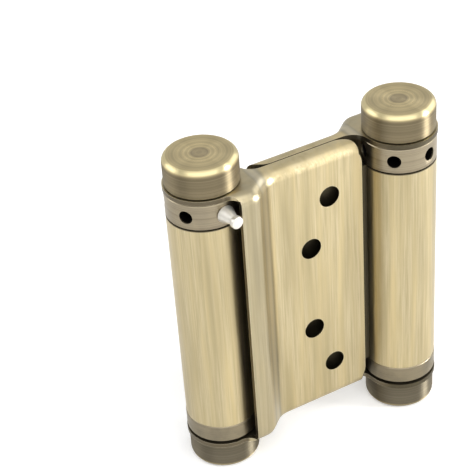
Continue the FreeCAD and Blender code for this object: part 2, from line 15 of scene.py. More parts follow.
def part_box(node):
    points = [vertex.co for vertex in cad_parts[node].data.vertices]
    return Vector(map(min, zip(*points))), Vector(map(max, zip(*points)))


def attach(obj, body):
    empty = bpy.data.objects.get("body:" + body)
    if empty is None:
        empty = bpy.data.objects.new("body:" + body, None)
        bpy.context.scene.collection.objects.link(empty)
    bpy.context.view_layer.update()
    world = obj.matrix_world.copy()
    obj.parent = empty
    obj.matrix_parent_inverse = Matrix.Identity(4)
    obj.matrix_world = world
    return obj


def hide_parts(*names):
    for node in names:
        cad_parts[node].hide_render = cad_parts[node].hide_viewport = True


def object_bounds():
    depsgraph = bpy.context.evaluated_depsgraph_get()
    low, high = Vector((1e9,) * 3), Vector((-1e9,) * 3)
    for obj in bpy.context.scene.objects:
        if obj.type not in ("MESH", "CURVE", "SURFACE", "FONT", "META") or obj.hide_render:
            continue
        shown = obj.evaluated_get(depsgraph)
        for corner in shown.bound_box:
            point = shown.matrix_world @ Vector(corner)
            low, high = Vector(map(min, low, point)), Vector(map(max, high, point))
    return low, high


bl_info = {
    "name": "Cafe Hinge Dressing",
    "version": (1, 0, 0),
    "blender": (4, 5, 0),
    "location": "View3D > Sidebar > Hinge",
    "description": "Finishes, turned caps, pins and stage for a double action cafe hinge",
    "category": "Object",
}

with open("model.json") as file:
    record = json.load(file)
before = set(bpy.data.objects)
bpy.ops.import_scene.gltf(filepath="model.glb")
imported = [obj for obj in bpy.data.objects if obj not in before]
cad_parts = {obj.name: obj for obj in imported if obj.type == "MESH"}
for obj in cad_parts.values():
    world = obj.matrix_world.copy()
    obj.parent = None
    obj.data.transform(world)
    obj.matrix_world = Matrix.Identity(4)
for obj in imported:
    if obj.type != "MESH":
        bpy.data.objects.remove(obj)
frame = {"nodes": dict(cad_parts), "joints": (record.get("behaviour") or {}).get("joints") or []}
CAD_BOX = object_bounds()
SIDES = ("front", "rear")
MM = 0.001

# Places on the part
CAP_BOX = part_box("rear_top_cap")
AXIS_X = (CAP_BOX[0].x + CAP_BOX[1].x) / 2
COLLAR_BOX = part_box("rear_tension_collar")
COLLAR_RADIUS = (COLLAR_BOX[1].y - COLLAR_BOX[0].y) / 2
BARREL_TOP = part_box("twin_barrel")[1].z
PIN_LEVEL = sum(corner.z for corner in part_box("rear_tension_pin")) / 2
LEAF_SLANT = math.radians(7.45)
JOGGLE = 11.0 * MM
# The joggle's two creases, by line and width, where painted shade lies.
CREASES = ((9.7 * MM, 0.9 * MM), (12.3 * MM, 1.0 * MM))
CAP_RINGS_END = 0.5 * MM
CAP_RING_POINTS = 140
TURNED_UV = "turned"

# Shares by a part of the normal: where each starts and where it is full
RUBBED_BEND = 0.995, 0.90
LEVEL_FACE = 0.4, 0.9
# Inner faces and flange undersides get painted shade.
INWARD_FACE = 0.35, 0.75
FLANGE_UNDERSIDE = -0.35, -0.75
UPRIGHT_FACE = 0.6, 0.3
LEAF_END_FACE = 0.80, 0.95
# Cap sides get painted shade, cap roundings a painted highlight.
CAP_END_FACE = 0.05, 0.45
CAP_ROUND_FACE = 0.25, 0.5
CAP_FLAT_FACE = 0.90, 0.995

# Shares by a place or a distance: where each starts and where it is full
LUG_RIM = 10.4 * MM, 9.8 * MM
# The joggle's slope and the raised strip get painted shade.
JOGGLE_SLOPE = 1.5 * MM, 0.8 * MM
RAISED_STRIP = JOGGLE, JOGGLE - 1.5 * MM
# The barrels' web, insides and mouths get painted shade.
WEB = AXIS_X - 8.6 * MM, AXIS_X - 9.4 * MM
BARREL_INSIDE = 9.1 * MM, 8.9 * MM
BARREL_MOUTH = BARREL_TOP - 0.3 * MM, BARREL_TOP - 0.1 * MM
CAP_CENTRE = 2.6 * MM, 1.9 * MM
# The caps' grooves and the bar holes get painted shade, near black.
GROOVE_END = 9.2 * MM
CAP_GROOVE = GROOVE_END + 0.05 * MM, GROOVE_END - 0.1 * MM
BAR_HOLE = COLLAR_RADIUS - 0.15 * MM, COLLAR_RADIUS - 0.5 * MM

# Noise scales per metre, by axis. The rings' first is by distance from the barrel axis.
NOISE_SPREAD = 0.3, 0.7
STREAKS = 2300, 2300, 45
TINTS = 420, 420, 25
BANDS = 190, 190, 14
FINE_RINGS = 4200, 1, 4200
BROAD_RINGS = 900, 1, 900
PATCHES = 160, 160, 160
STEEL_CLOUDS = 500, 500, 500

# Pieces inside the barrels: material, dark and light colour, and roughness
INSIDES = {
    "spindle": ("ground_steel", (0.48, 0.48, 0.47), (0.62, 0.62, 0.61), 0.28),
    "thrust_washer": ("washer_steel", (0.10, 0.09, 0.08), (0.16, 0.15, 0.13), 0.45),
    "torsion_spring": ("spring_steel", (0.12, 0.12, 0.13), (0.20, 0.20, 0.21), 0.38),
}
INSIDE_EDGE = 0.05 * MM

# Floor: half its width, its colour, where its far part starts and is full, and its glow near and far
FLOOR_REACH = 6.0
FLOOR_COLOUR = 0.93, 0.93, 0.93, 1
FAR_FLOOR = 0.25, 1.3
FLOOR_GLOW = 0.22, 0.8


# Meshes

def put_mesh(name, points, faces, around=None):
    """Makes a smooth mesh object. Around gives its points' UV: place along the profile, and turn."""
    mesh = bpy.data.meshes.new(name)
    mesh.from_pydata(points.reshape(-1, 3), [], faces)
    mesh.shade_smooth()
    if around is not None:
        corners = np.empty(len(mesh.loops), np.int32)
        mesh.loops.foreach_get("vertex_index", corners)
        layer = mesh.uv_layers.new(name=TURNED_UV)
        layer.data.foreach_set("uv", around.reshape(-1, 2)[corners].astype(np.float32).ravel())
    mesh.update()
    piece = bpy.data.objects.new(name, mesh)
    bpy.context.scene.collection.objects.link(piece)
    return piece


def lathe(name, profile, origin, along, sectors=128):
    """A closed turned piece.

    Point (i, j) is origin + height[i] * w + radius[i] * (cos(t) * u + sin(t) * v), where t is
    2 pi j / sectors, w is the unit vector along, and u, v and w are a right-handed set. The profile
    starts and ends on the axis, where each end ring shrinks to one point with a fan of triangles.
    The UV is (length along the profile, t) for the walls.
    """
    radius, height = profile[:, 0], profile[:, 1]
    w = Vector(along).normalized()
    u = w.orthogonal().normalized()
    v = w.cross(u)
    turn = np.linspace(0, 2 * np.pi, sectors, endpoint=False)
    ring = np.outer(np.cos(turn), u) + np.outer(np.sin(turn), v)
    walls = height[1:-1, None, None] * np.array(w) + radius[1:-1, None, None] * ring[None]
    poles = np.outer([height[0], height[-1]], w)
    points = np.array(origin) + np.concatenate([walls.reshape(-1, 3), poles])
    travelled = np.concatenate([[0], np.cumsum(np.hypot(np.diff(radius), np.diff(height)))])
    rows = len(radius) - 2
    wall_uv = np.stack(np.meshgrid(travelled[1:-1], turn, indexing="ij"), -1)
    pole_uv = np.array([[travelled[0], 0], [travelled[-1], 0]])
    around = np.concatenate([wall_uv.reshape(-1, 2), pole_uv])
    i, j = np.meshgrid(np.arange(rows - 1), np.arange(sectors), indexing="ij")
    here, beside = i * sectors + j, i * sectors + (j + 1) % sectors
    quads = np.stack([here, beside, beside + sectors, here + sectors], -1)
    edge = np.arange(sectors)
    after = (edge + 1) % sectors
    first, last, top = rows * sectors, rows * sectors + 1, (rows - 1) * sectors
    start_fan = np.stack([np.full(sectors, first), after, edge], -1)
    end_fan = np.stack([np.full(sectors, last), top + edge, top + after], -1)
    faces = quads.reshape(-1, 4).tolist() + start_fan.tolist() + end_fan.tolist()
    return put_mesh(name, points, faces, around)


def rounded(corners, radii, steps=8):
    """A profile through corners, each rounded by its radius.

    A corner's arc touches both its legs at radius * tan(half the turn), and its points are
    centre + radius * (cos, sin) at equal angles between the two touching points.
    """
    corners = np.array(corners, float)
    points = [corners[:1]]
    for before, corner, after, radius in zip(corners, corners[1:], corners[2:], radii):
        back = (before - corner) / np.linalg.norm(before - corner)
        ahead = (after - corner) / np.linalg.norm(after - corner)
        half = math.acos(np.clip(back @ ahead, -1, 1)) / 2
        middle = corner + (back + ahead) / np.linalg.norm(back + ahead) * radius / math.sin(half)
        start = corner + back * radius / math.tan(half) - middle
        end = corner + ahead * radius / math.tan(half) - middle
        angle = math.atan2(start[0] * end[1] - start[1] * end[0], start @ end)
        turn = np.linspace(0, angle, steps)
        cos, sin = np.cos(turn), np.sin(turn)
        arc = np.stack([cos * start[0] - sin * start[1], sin * start[0] + cos * start[1]], -1)
        points.append(middle + arc)
    points.append(corners[-1:])
    return np.concatenate(points)


def soften(piece, width):
    """Merges a CAD node's loose triangles, rounds its sharp edges by width and shades it smooth."""
    piece.data.shade_smooth()
    weld = piece.modifiers.new("Weld", "WELD")
    weld.merge_threshold = 1e-6
    flat = piece.modifiers.new("Flat faces", "DECIMATE")
    flat.decimate_type = "DISSOLVE"
    flat.angle_limit = math.radians(0.5)
    bevel = piece.modifiers.new("Edges", "BEVEL")
    bevel.width = width
    bevel.segments = 2
    bevel.limit_method = "ANGLE"
    bevel.angle_limit = math.radians(35)
    bevel.harden_normals = True
    normals = piece.modifiers.new("Normals", "WEIGHTED_NORMAL")
    normals.keep_sharp = True


# Finishes

def feed(material, socket, value):
    """Links a socket to another, or sets its value."""
    if isinstance(value, bpy.types.NodeSocket):
        material.node_tree.links.new(value, socket)
    else:
        socket.default_value = value


def add_node(material, kind, settings=(), **inputs):
    """Adds a node. Settings are its own properties and inputs are values or sockets by input name."""
    made = material.node_tree.nodes.new(kind)
    for name, value in dict(settings).items():
        setattr(made, name, value)
    for name, value in inputs.items():
        feed(material, made.inputs[name.replace("_", " ")], value)
    return made


def calc(material, operation, *values):
    """The result of a Math node on numbers or sockets."""
    made = add_node(material, "ShaderNodeMath", {"operation": operation})
    for socket, value in zip(made.inputs, values):
        feed(material, socket, value)
    return made.outputs[0]


def scaled(material, value, factor):
    """A number times a factor."""
    return calc(material, "MULTIPLY", value, factor)


def split(material, vector):
    """The X, Y and Z sockets of a vector."""
    return add_node(material, "ShaderNodeSeparateXYZ", Vector=vector).outputs


def step(material, value, low, high):
    """0 at low and 1 at high, with a soft rise between. Low may be more than high."""
    return add_node(
        material, "ShaderNodeMapRange", {"interpolation_type": "SMOOTHSTEP"}, Value=value,
        From_Min=low, From_Max=high, To_Min=0.0, To_Max=1.0,
    ).outputs["Result"]


def between(material, share, low, high):
    """A number that goes from low to high with a share from 0 to 1."""
    return add_node(
        material, "ShaderNodeMapRange", Value=share, From_Min=0.0, From_Max=1.0, To_Min=low, To_Max=high,
    ).outputs["Result"]


def mixed(material, share, first, second):
    """A colour that goes from the first to the second with a share from 0 to 1."""
    made = add_node(material, "ShaderNodeMix", {"data_type": "RGBA"}, Factor=share)
    for socket, colour in ((made.inputs[6], first), (made.inputs[7], second)):
        feed(material, socket, colour if isinstance(colour, bpy.types.NodeSocket) else (*colour, 1))
    return made.outputs[2]


def noise(material, place, scale, detail=4.0, roughness=0.6):
    """Noise at a place, with a scale per metre for each axis, spread over about 0 to 1."""
    mapping = add_node(material, "ShaderNodeMapping", Vector=place, Scale=scale)
    made = add_node(
        material, "ShaderNodeTexNoise", Vector=mapping.outputs["Vector"],
        Scale=1.0, Detail=detail, Roughness=roughness)
    return step(material, made.outputs["Fac"], *NOISE_SPREAD)


def worn_edge(material, width):
    """1 along an edge and 0 away from it: how far a normal averaged over width leaves the surface's own."""
    averaged = add_node(material, "ShaderNodeBevel", {"samples": 6}, Radius=width)
    own = add_node(material, "ShaderNodeNewGeometry")
    compared = add_node(material, "ShaderNodeVectorMath", {"operation": "DOT_PRODUCT"})
    feed(material, compared.inputs[0], averaged.outputs["Normal"])
    feed(material, compared.inputs[1], own.outputs["Normal"])
    return step(material, compared.outputs["Value"], *RUBBED_BEND)


def metal(name, anisotropy=0.0):
    """A blank metal: its material, its Principled shader and its Texture Coordinate node."""
    material = bpy.data.materials.new(name)
    material.use_nodes = True
    shader = material.node_tree.nodes["Principled BSDF"]
    shader.inputs["Metallic"].default_value = 1.0
    shader.inputs["Anisotropic"].default_value = anisotropy
    return material, shader, add_node(material, "ShaderNodeTexCoord")


def finish_metal(material, shader, colour, rough, height, depth):
    """Joins a metal's colour, roughness and surface height to its shader."""
    bump = add_node(material, "ShaderNodeBump", Strength=1.0, Distance=depth, Height=height)
    feed(material, shader.inputs["Base Color"], colour)
    feed(material, shader.inputs["Roughness"], rough)
    feed(material, shader.inputs["Normal"], bump.outputs["Normal"])
    return material


def brushed_brass(name, finish, side=None):
    """Brass brushed upright: fine streaks, broader bands, bright worn edges, and near black painted shade in
    recesses.

    With a side it is for that side's leaf: its cut edges keep their dark finish, its inner faces and flange
    undersides get painted shade, and its joggle's slope, creases and raised strip get fainter painted shade.
    Without one it is for the barrels, whose web, insides and mouths get painted shade. Level faces show no
    streaks.
    """
    material, shader, place = metal(name)
    here = place.outputs["Object"]
    tilt = calc(material, "ABSOLUTE", split(material, place.outputs["Normal"])["Z"])
    streaks = noise(material, here, STREAKS, detail=5.0, roughness=0.7)
    streaks = between(material, step(material, tilt, *LEVEL_FACE), streaks, 0.5)
    bands = noise(material, here, BANDS, detail=2.0)
    tints = noise(material, here, TINTS, detail=2.0)
    yellow = mixed(material, bands, finish.brass_dark, finish.brass_light)
    grey = mixed(material, streaks, finish.brass_dark, finish.brass_pale)
    plain = mixed(material, between(material, tints, 0.15, 0.85), yellow, grey)
    rubbed = scaled(material, worn_edge(material, 0.25 * MM), 0.7)
    if side:
        dark, sheared, joggle, crease_shade_share = leaf_shares(material, place, side)
        # Painted shade: greyer, darker brass on the joggle's slope.
        plain = mixed(material, joggle, plain, finish.painted_slope_shade)
        # Painted shade in the joggle's creases, and thinner on the raised strip.
        plain = mixed(material, crease_shade_share, plain, finish.painted_crease_shade)
        plain = mixed(material, sheared, plain, finish.sheared)
        rubbed = calc(material, "MULTIPLY", rubbed, between(material, sheared, 1.0, 0.6))
    else:
        dark = barrel_painted_shade(material, here)
    worn = mixed(material, rubbed, plain, finish.brass_worn)
    # Painted shade, near black: on a leaf's inner faces and flange undersides, and on the barrels' web,
    # insides and mouths.
    colour = mixed(material, dark, worn, finish.painted_recess_shade)
    rough = calc(material, "ADD", between(material, streaks, 0.30, 0.41), scaled(material, dark, 0.15))
    return finish_metal(material, shader, colour, rough, streaks, 0.006 * MM)


def leaf_shares(material, place, side):
    """Four shares from 0 to 1: painted shade on a leaf's inner faces and flange undersides, its sheared
    edges, painted shade on its joggle's slope, and painted shade in its creases.

    The crease shade lies in the joggle's two creases, and thinner on the raised strip beside them. Places and
    normals are turned into the leaf's own frame: x along it from its barrel axis, and -y out.
    """
    turn = -LEAF_SLANT + (math.pi if side == "rear" else 0)
    local = add_node(
        material, "ShaderNodeMapping", Vector=place.outputs["Object"], Rotation=(0, 0, turn),
        Location=(AXIS_X * math.cos(LEAF_SLANT), -AXIS_X * math.sin(LEAF_SLANT), 0))
    facing = add_node(
        material, "ShaderNodeMapping", {"vector_type": "VECTOR"}, Vector=place.outputs["Normal"],
        Rotation=(0, 0, turn))
    spot = split(material, local.outputs["Vector"])
    way = split(material, facing.outputs["Vector"])

    def beside(line):
        return calc(material, "ABSOLUTE", calc(material, "SUBTRACT", spot["X"], line))

    # Painted shade on inner faces and flange undersides.
    inward = step(material, way["Y"], *INWARD_FACE)
    rise = calc(material, "MULTIPLY", way["Z"], calc(material, "SIGN", spot["Z"]))
    under = step(material, rise, *FLANGE_UNDERSIDE)
    upright = step(material, calc(material, "ABSOLUTE", way["Z"]), *UPRIGHT_FACE)
    ends = step(material, calc(material, "ABSOLUTE", way["X"]), *LEAF_END_FACE)
    reach = distance(material, spot["X"], spot["Y"])
    rim = calc(material, "MULTIPLY", step(material, reach, *LUG_RIM), upright)
    # Painted shade on the joggle's slope.
    joggle = step(material, beside(JOGGLE), *JOGGLE_SLOPE)
    # Painted shade: thinner on the raised strip, full in the two creases.
    strip = scaled(material, step(material, spot["X"], *RAISED_STRIP), 0.7)
    creases = [step(material, beside(line), width, 0.0) for line, width in CREASES]
    crease_shade_share = calc(material, "MAXIMUM", strip, calc(material, "MAXIMUM", *creases))
    return (
        calc(material, "MAXIMUM", inward, under),
        calc(material, "MAXIMUM", ends, rim),
        scaled(material, joggle, 0.5),
        scaled(material, crease_shade_share, 0.5),
    )


def barrel_painted_shade(material, here):
    """Painted shade: 1 on the web between the barrels, inside them and at their mouths, and 0 on their
    outside.
    """
    spot = split(material, here)
    web = step(material, calc(material, "ABSOLUTE", spot["X"]), *WEB)
    inside = step(material, from_axis(material, here), *BARREL_INSIDE)
    mouth = step(material, spot["Z"], *BARREL_MOUTH)
    return calc(material, "MAXIMUM", web, calc(material, "MAXIMUM", inside, mouth))


def distance(material, x, y):
    """The square root of x * x + y * y."""
    return calc(material, "SQRT", calc(material, "MULTIPLY_ADD", x, x, calc(material, "MULTIPLY", y, y)))


def from_axis(material, here):
    """A point's distance from the nearer barrel axis."""
    spot = split(material, here)
    across = calc(material, "SUBTRACT", calc(material, "ABSOLUTE", spot["X"]), AXIS_X)
    return distance(material, spot["Y"], across)


def tool_rings(material, here):
    """Noise in the distance from the barrel axis and in the height, which forms rings: fine, and broad."""
    level = add_node(
        material, "ShaderNodeCombineXYZ", X=from_axis(material, here), Z=split(material, here)["Z"])
    fine = noise(material, level.outputs["Vector"], FINE_RINGS, detail=3.0, roughness=0.7)
    broad = noise(material, level.outputs["Vector"], BROAD_RINGS, detail=2.0)
    return fine, broad


def turned_brass(name, finish, painted_side_shade_dark, painted_side_shade_light, edge):
    """A turned cap: brassy on its end, the edge colour on its rounding (a painted highlight on top caps,
    painted shade on bottom caps), painted shade round its side, ringed by the tool.

    Its gloss is drawn out along the profile, across the tool's rings, by the UV's first direction.
    """
    material, shader, place = metal(name, anisotropy=0.93)
    here = place.outputs["Object"]
    fine, broad = tool_rings(material, here)
    upright = calc(material, "ABSOLUTE", split(material, place.outputs["Normal"])["Z"])
    flat = step(material, upright, *CAP_FLAT_FACE)
    rounding = calc(
        material, "MULTIPLY", step(material, upright, *CAP_ROUND_FACE), calc(material, "SUBTRACT", 1.0, flat))
    centre = step(material, from_axis(material, here), *CAP_CENTRE)
    groove = step(material, split(material, place.outputs["UV"])["X"], *CAP_GROOVE)
    end = mixed(material, broad, finish.brass_dark, finish.brass_light)
    end = mixed(material, scaled(material, centre, 0.55), end, finish.bronze_dark)
    # Painted shade round the side, with the tool rings in it.
    round_side = mixed(material, fine, painted_side_shade_dark, painted_side_shade_light)
    round_side = mixed(material, scaled(material, broad, 0.35), round_side, painted_side_shade_dark)
    colour = mixed(material, step(material, upright, *CAP_END_FACE), round_side, end)
    # Painted highlight on the top caps' rounding; on the bottom caps the rounding takes their painted shade.
    colour = mixed(material, scaled(material, rounding, 0.8), colour, edge)
    # Painted shade, near black, in the groove at the cap's foot.
    colour = mixed(material, groove, colour, finish.painted_hole_shade)
    rough = calc(material, "SUBTRACT", between(material, fine, 0.47, 0.57), scaled(material, flat, 0.2))
    rough = calc(material, "SUBTRACT", rough, scaled(material, rounding, 0.17))
    tangent = add_node(material, "ShaderNodeTangent", {"direction_type": "UV_MAP", "uv_map": TURNED_UV})
    feed(material, shader.inputs["Tangent"], tangent.outputs["Tangent"])
    return finish_metal(material, shader, colour, rough, fine, 0.003 * MM)


def turned_bronze(name, finish, dark, light):
    """Collars and bushes: dark antique bronze with fine rings, and nearly black painted shade inside."""
    material, shader, place = metal(name)
    here = place.outputs["Object"]
    fine, broad = tool_rings(material, here)
    patches = noise(material, here, PATCHES, detail=3.0)
    # Painted shade, near black, inside the collar's radius, where the bar holes are.
    inside = step(material, from_axis(material, here), *BAR_HOLE)
    colour = mixed(material, fine, dark, light)
    colour = mixed(material, scaled(material, patches, 0.3), colour, finish.bronze_pale)
    colour = mixed(material, scaled(material, worn_edge(material, 0.2 * MM), 0.2), colour, finish.brass_worn)
    colour = mixed(material, inside, colour, finish.painted_hole_shade)
    rough = calc(material, "ADD", between(material, broad, 0.30, 0.42), scaled(material, inside, 0.3))
    return finish_metal(material, shader, colour, rough, fine, 0.004 * MM)


def plain_steel(name, dark, light, rough, metallic=1.0):
    """A steel with a slightly uneven tone and gloss. Less metallic stands for a satin plating."""
    material, shader, place = metal(name)
    shader.inputs["Metallic"].default_value = metallic
    clouds = noise(material, place.outputs["Object"], STEEL_CLOUDS, detail=2.0)
    colour = mixed(material, clouds, dark, light)
    gloss = between(material, clouds, rough - 0.05, rough + 0.05)
    return finish_metal(material, shader, colour, gloss, clouds, 0.0002 * MM)


def dress(piece, material):
    """Gives a piece one finish on all its faces."""
    piece.data.materials.clear()
    piece.data.materials.append(material)


def colour_prop(name, description, default):
    """A colour that the user may change."""
    return bpy.props.FloatVectorProperty(
        name=name, description=description, default=default, subtype="COLOR", size=3, min=0, max=1)


class HingeFinish(bpy.types.PropertyGroup):
    """Colours of the hinge's finishes, and the width of its softened edges."""

    brass_light: colour_prop("Brass, light", "Brushed antique brass where it is yellow", (0.67, 0.548, 0.30))
    brass_dark: colour_prop("Brass, dark", "Brushed antique brass in its dark streaks", (0.42, 0.35, 0.20))
    brass_pale: colour_prop("Brass, pale", "Brushed antique brass in its pale streaks", (0.655, 0.565, 0.37))
    brass_worn: colour_prop("Brass, worn", "Brass rubbed bright along its edges", (0.84, 0.75, 0.50))
    # Painted shade, near black, on inner faces, flange undersides, and the barrels' web, insides and mouths.
    painted_recess_shade: colour_prop("Patina", "Dark finish left on inner faces", (0.10, 0.085, 0.055))
    # Painted shade in the leaves' creases and on their raised strips
    painted_crease_shade: colour_prop("Tarnish", "Grey tarnish in a leaf's creases and on its strip", (0.24, 0.23, 0.19))
    # Painted shade on the slope of the leaves' joggle
    painted_slope_shade: colour_prop("Fold", "Greyer brass on the slope of the leaves' joggle", (0.49, 0.465, 0.385))
    sheared: colour_prop("Sheared edge", "Cut edges of the leaf sheet", (0.145, 0.12, 0.08))
    bronze_light: colour_prop("Bronze, light", "Collars and bushes where they are bright", (0.36, 0.31, 0.22))
    bronze_dark: colour_prop("Bronze, dark", "Collars and bushes in the tool marks", (0.23, 0.19, 0.13))
    bronze_pale: colour_prop("Bronze, pale", "Collars and bushes in their brassy clouds", (0.44, 0.37, 0.24))
    # Painted shade: the top caps' sides are darker than their ends
    painted_side_shade_light: colour_prop("Cap side, light", "Top caps' sides where they are bright", (0.31, 0.255, 0.157))
    painted_side_shade_dark: colour_prop("Cap side, dark", "Top caps' sides in the tool marks", (0.18, 0.148, 0.09))
    bush_light: colour_prop("Bush, light", "Barrel bushes where they are bright", (0.26, 0.225, 0.16))
    bush_dark: colour_prop("Bush, dark", "Barrel bushes in the tool marks", (0.17, 0.145, 0.10))
    # Painted shade: the bottom caps are darker than the top caps' sides
    painted_foot_shade_light: colour_prop("Foot, light", "Bottom caps where they are bright", (0.21, 0.18, 0.127))
    painted_foot_shade_dark: colour_prop("Foot, dark", "Bottom caps in the tool marks", (0.13, 0.113, 0.078))
    # Painted shade, near black, in the bar holes and the caps' grooves
    painted_hole_shade: colour_prop("Hole", "Inside of the bar holes and of the caps' grooves", (0.012, 0.010, 0.008))
    # Painted highlight on the top caps' rounding
    rounding: colour_prop("Cap rounding", "Top caps' outer edges, rubbed bright", (0.74, 0.64, 0.36))
    steel: colour_prop("Steel", "Satin tension pins", (0.78, 0.75, 0.67))
    edge_width: bpy.props.FloatProperty(
        name="Edge rounding", description="Width of the softened sheared and turned edges",
        default=0.12 * MM, min=0, unit="LENGTH")


def length_prop(name, description, default):
    """A length that the user may change, given in millimetres."""
    return bpy.props.FloatProperty(
        name=name, description=description, default=default * MM, min=0, unit="LENGTH")


class HingeSizes(bpy.types.PropertyGroup):
    """Sizes of the fine turned work that the CAD solids leave plain."""

    cap_round: length_prop("Cap rounding", "Radius of a cap's outer edge", 1.6)
    groove: length_prop("Cap groove", "Height of the groove where a cap meets its lug", 0.25)
    groove_depth: length_prop("Cap groove depth", "Depth of that groove", 0.7)
    ring_pitch: length_prop("Ring pitch", "Distance between the tool rings on a cap's flat end", 0.8)
    ring_depth: length_prop("Ring depth", "Depth of the tool rings on a cap's flat end", 0.012)
    pin_shank: length_prop("Pin shank", "Radius of a pin's shank in its collar hole", 1.6)
    pin_shoulder: length_prop("Pin shoulder", "Radius of a pin's cone where it meets the collar", 2.25)
    pin_neck: length_prop("Pin neck", "Radius of a pin's neck", 1.1)
    pin_head: length_prop("Pin head", "Radius of a pin's head", 1.5)
    pin_inner: length_prop("Pin inner end", "Inner end of a pin from the barrel axis", 4.7)
    pin_seat: length_prop("Pin seat", "Foot of a pin's cone from the barrel axis", 9.22)
    cone_length: length_prop("Cone length", "Length of a pin's cone", 3.4)
    neck_length: length_prop("Neck length", "Length of a pin's neck", 0.35)
    head_length: length_prop("Head length", "Height of a pin's head", 1.22)


class HingeStage(bpy.types.PropertyGroup):
    """Camera and light."""

    camera_place: bpy.props.FloatVectorProperty(
        name="Camera", description="Camera position",
        default=(-0.118426, -0.275698, 0.224383), subtype="TRANSLATION", size=3, unit="LENGTH")
    azimuth: bpy.props.FloatProperty(
        name="Azimuth", description="Angle the camera looks from, round the hinge",
        default=math.radians(-19.951), subtype="ANGLE")
    elevation: bpy.props.FloatProperty(
        name="Elevation", description="Angle the camera looks down by",
        default=math.radians(34.926), subtype="ANGLE")
    roll: bpy.props.FloatProperty(
        name="Roll", description="Turn of the camera about its view",
        default=math.radians(-4.428), subtype="ANGLE")
    lens: bpy.props.FloatProperty(
        name="Lens", description="Focal length in millimetres on a 36 mm sensor",
        default=114.99, min=1)
    room_light: bpy.props.FloatProperty(
        name="Room light", description="Level of the even light from all round", default=0.42, min=0)
    room_gloss: bpy.props.FloatProperty(
        name="Room in gloss", description="Level of the room that the metal mirrors", default=0.8, min=0)


# Pieces

class HINGE_OT_leaves(bpy.types.Operator):
    """Softens the edges of leaves and barrels and gives them brushed brass with an upright grain"""

    bl_idname = "hinge.leaves"
    bl_label = "Leaves and barrels"

    def execute(self, context):
        finish = context.scene.hinge_finish
        for name, side in (("front_leaf", "front"), ("rear_leaf", "rear"), ("twin_barrel", None)):
            piece = frame["nodes"][name]
            soften(piece, finish.edge_width)
            dress(piece, brushed_brass(f"brushed_brass_{name}", finish, side))
        return {"FINISHED"}


class HINGE_OT_caps(bpy.types.Operator):
    """Turns the four caps: rounded edge, groove at the foot and tool rings on the flat end"""

    bl_idname = "hinge.caps"
    bl_label = "Turned caps"

    def profile(self, sizes, radius, length):
        """(radius, height) from the lug to the flat end, whose rings are a raised cosine in the radius.

        The rings fade out over CAP_RINGS_END before the rounding.
        """
        root = radius - sizes.groove_depth
        sharp, lip = 0.02 * MM, 0.12 * MM
        outline = rounded(
            [(0, 0), (root, 0), (root, sizes.groove), (radius, sizes.groove), (radius, length), (0, length)],
            [sharp, sharp, lip, sizes.cap_round],
        )
        reach = radius - sizes.cap_round
        across = np.linspace(reach, 0, CAP_RING_POINTS)[1:]
        rings = sizes.ring_depth * (1 - np.cos(2 * np.pi * across / sizes.ring_pitch)) / 2
        fade = np.clip((reach - across) / CAP_RINGS_END, 0, 1)
        end = np.stack([across, length - rings * fade], -1)
        return np.concatenate([outline[:-1], end])

    def execute(self, context):
        finish, sizes = context.scene.hinge_finish, context.scene.hinge_sizes
        # Top caps: painted shade on the side and a painted highlight on the rounding. Bottom caps: painted
        # shade on side and rounding.
        top = turned_brass(
            "turned_brass_top", finish, finish.painted_side_shade_dark, finish.painted_side_shade_light, edge=finish.rounding)
        bottom = turned_brass(
            "turned_brass_bottom", finish, finish.painted_foot_shade_dark, finish.painted_foot_shade_light, edge=finish.painted_foot_shade_light)
        for side in SIDES:
            for end, up, metal_finish in (("top", 1, top), ("bottom", -1, bottom)):
                node = f"{side}_{end}_cap"
                low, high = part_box(node)
                middle = (low + high) / 2
                shape = self.profile(sizes, (high.x - low.x) / 2, high.z - low.z)
                foot = low.z if up > 0 else high.z
                piece = lathe(f"{node}_turned", shape, (middle.x, middle.y, foot), (0, 0, up))
                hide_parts(node)
                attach(piece, f"{side}_leaf")
                dress(piece, metal_finish)
        return {"FINISHED"}


class HINGE_OT_collars(bpy.types.Operator):
    """Gives the tension collars and the barrel bushes their dark turned finish"""

    bl_idname = "hinge.collars"
    bl_label = "Collars and bushes"

    def execute(self, context):
        finish = context.scene.hinge_finish
        collar = turned_bronze("turned_bronze_collar", finish, finish.bronze_dark, finish.bronze_light)
        bush = turned_bronze("turned_bronze_bush", finish, finish.bush_dark, finish.bush_light)
        for side in SIDES:
            for name, bronze in (("tension_collar", collar), ("barrel_bush", bush)):
                piece = frame["nodes"][f"{side}_{name}"]
                soften(piece, finish.edge_width)
                dress(piece, bronze)
        return {"FINISHED"}


